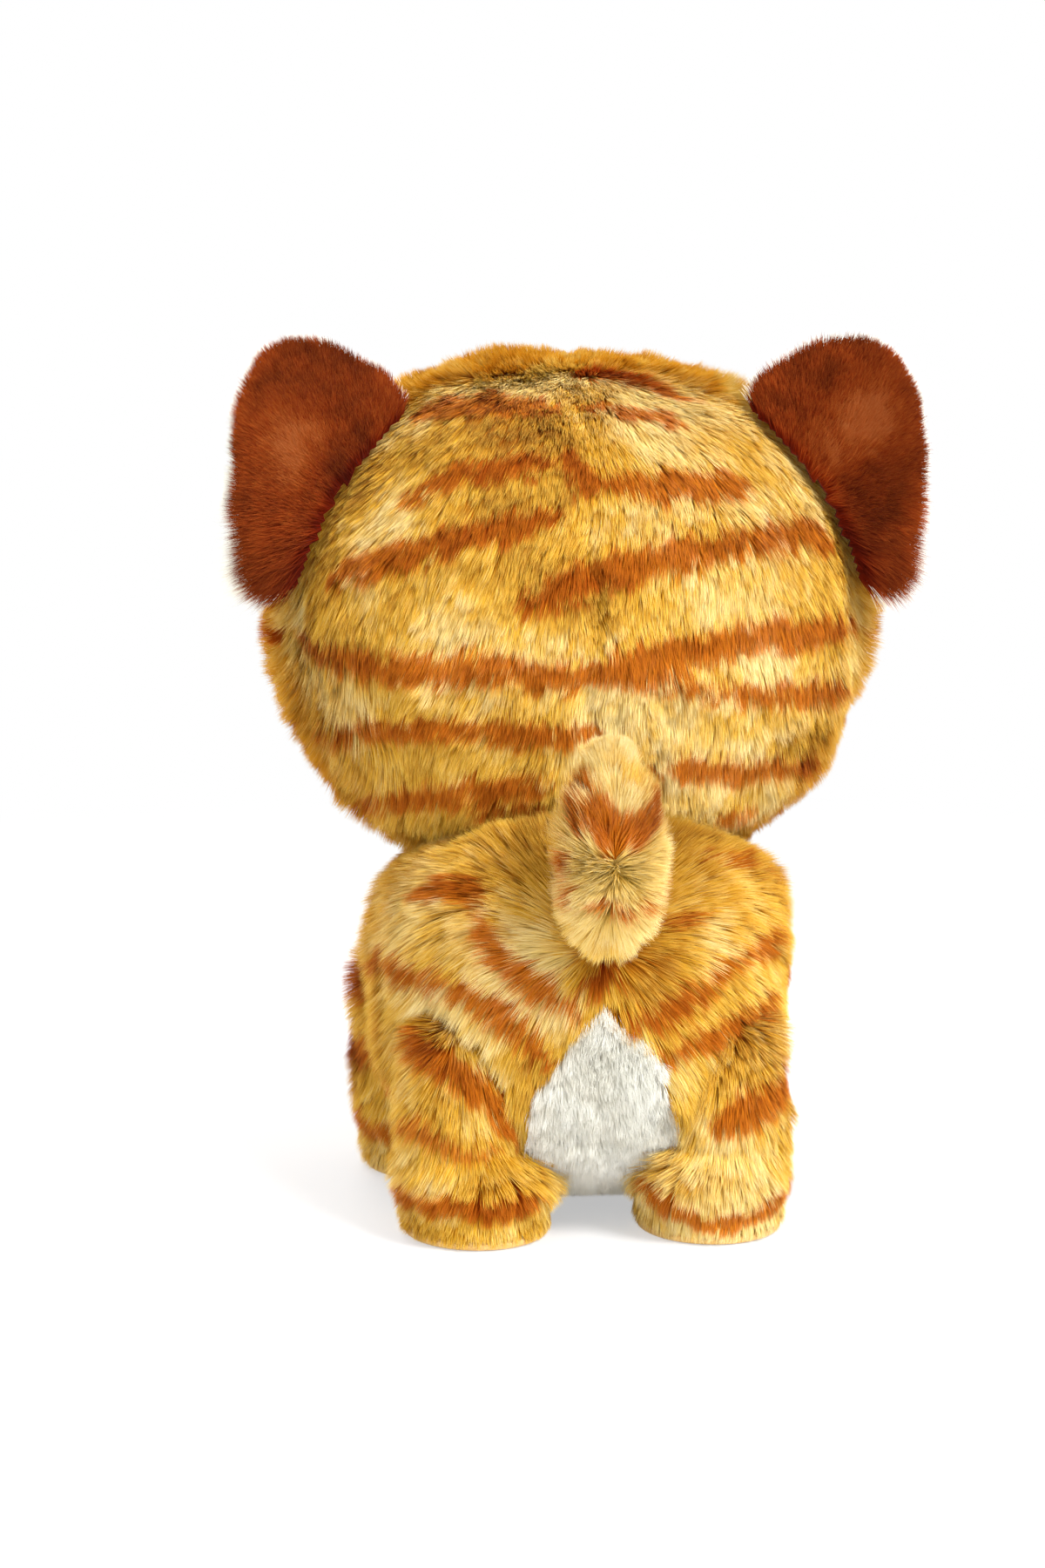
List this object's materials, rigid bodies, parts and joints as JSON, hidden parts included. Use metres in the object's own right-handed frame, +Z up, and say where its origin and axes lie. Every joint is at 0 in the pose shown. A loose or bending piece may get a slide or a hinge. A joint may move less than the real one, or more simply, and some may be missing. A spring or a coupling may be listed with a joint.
{
  "type": "plush tabby cat",
  "caption": "Sewn and stuffed toy cat with golden tabby stripes, standing on short legs, with a big round head, brown ears and an upright tail.",
  "frame": {"origin": "on the floor, under the middle of the toy's bounding box", "axes": "+Z up, the cat faces -Y, and +X is the cat's own left side"},
  "size_m": [0.1528, 0.1698, 0.1954],
  "materials": {
    "tabby_plush": "golden plush pile of 8 mm with orange-brown tabby stripes",
    "white_plush": "fluffy white plush pile of 5 mm",
    "brown_plush": "short dense reddish-brown pile",
    "fibre_filling": "white polyester fibre filling",
    "pellet_bag": "thin woven bag of plastic pellets",
    "eye_plastic": "glossy moulded plastic",
    "washer_plastic": "plain white plastic",
    "nose_plastic": "pink-brown satin plastic",
    "thread": "dark brown embroidery thread"
  },
  "bodies": {
    "torso": {"torso_stuffing": "fibre_filling", "torso_left_panel": "tabby_plush", "torso_right_panel": "tabby_plush", "belly_panel": "white_plush"},
    "neck": {"neck_stuffing": "fibre_filling"},
    "head": {"head_back_left_panel": "tabby_plush", "head_back_right_panel": "tabby_plush", "face_left_panel": "tabby_plush", "face_right_panel": "tabby_plush", "head_stuffing": "fibre_filling", "eye_left": "eye_plastic", "eye_right": "eye_plastic", "eye_left_washer": "washer_plastic", "eye_right_washer": "washer_plastic", "muzzle": "white_plush", "nose": "nose_plastic", "mouth_stitch": "thread"},
    "ear_left": {"ear_left_back": "brown_plush", "ear_left_lining": "white_plush"},
    "ear_right": {"ear_right_back": "brown_plush", "ear_right_lining": "white_plush"},
    "tail": {"tail_sleeve": "tabby_plush", "tail_stuffing": "fibre_filling"},
    "leg_rear_left": {"rear_leg_left_sleeve": "tabby_plush", "rear_leg_left_sole": "tabby_plush", "rear_leg_left_stuffing": "fibre_filling", "rear_leg_left_pellet_bag": "pellet_bag"},
    "leg_rear_right": {"rear_leg_right_sleeve": "tabby_plush", "rear_leg_right_sole": "tabby_plush", "rear_leg_right_stuffing": "fibre_filling", "rear_leg_right_pellet_bag": "pellet_bag"},
    "leg_front_left": {"front_leg_left_sleeve": "tabby_plush", "front_leg_left_sole": "tabby_plush", "front_leg_left_stuffing": "fibre_filling", "front_leg_left_pellet_bag": "pellet_bag"},
    "leg_front_right": {"front_leg_right_sleeve": "tabby_plush", "front_leg_right_sole": "tabby_plush", "front_leg_right_stuffing": "fibre_filling", "front_leg_right_pellet_bag": "pellet_bag"}
  },
  "joints": [
    {"name": "neck_turn", "type": "hinge", "parent": "torso", "child": "neck", "pos_m": [0, -0.0154, 0.078], "axis": [0, 0, 1], "range_deg": [-12, 12], "stiffness_Nm_per_rad": 0.4},
    {"name": "head_nod", "type": "hinge", "parent": "neck", "child": "head", "pos_m": [0, -0.0154, 0.078], "axis": [1, 0, 0], "range_deg": [-6, 6], "stiffness_Nm_per_rad": 0.9},
    {"name": "ear_left_fold", "type": "hinge", "parent": "head", "child": "ear_left", "pos_m": [0.03902, 0.0014, 0.18348], "axis": [0.5349, 0.0661, -0.8423], "range_deg": [-12, 28], "stiffness_Nm_per_rad": 0.02},
    {"name": "ear_right_fold", "type": "hinge", "parent": "head", "child": "ear_right", "pos_m": [-0.03902, 0.0014, 0.18348], "axis": [-0.5349, 0.0661, -0.8423], "range_deg": [-28, 12], "stiffness_Nm_per_rad": 0.02},
    {"name": "tail_wag", "type": "hinge", "parent": "torso", "child": "tail", "pos_m": [0, 0.04772, 0.07098], "axis": [0, 0, 1], "range_deg": [-15, 15], "stiffness_Nm_per_rad": 0.06},
    {"name": "leg_rear_left_swing", "type": "hinge", "parent": "torso", "child": "leg_rear_left", "pos_m": [0.028, 0.0336, 0.04], "axis": [1, 0, 0], "range_deg": [-8, 8], "stiffness_Nm_per_rad": 0.5},
    {"name": "leg_rear_right_swing", "type": "hinge", "parent": "torso", "child": "leg_rear_right", "pos_m": [-0.028, 0.0336, 0.04], "axis": [1, 0, 0], "range_deg": [-8, 8], "stiffness_Nm_per_rad": 0.5},
    {"name": "leg_front_left_swing", "type": "hinge", "parent": "torso", "child": "leg_front_left", "pos_m": [0.032, -0.0274, 0.041], "axis": [1, 0, 0], "range_deg": [-8, 8], "stiffness_Nm_per_rad": 0.5},
    {"name": "leg_front_right_swing", "type": "hinge", "parent": "torso", "child": "leg_front_right", "pos_m": [-0.032, -0.0274, 0.041], "axis": [1, 0, 0], "range_deg": [-8, 8], "stiffness_Nm_per_rad": 0.5}
  ]
}
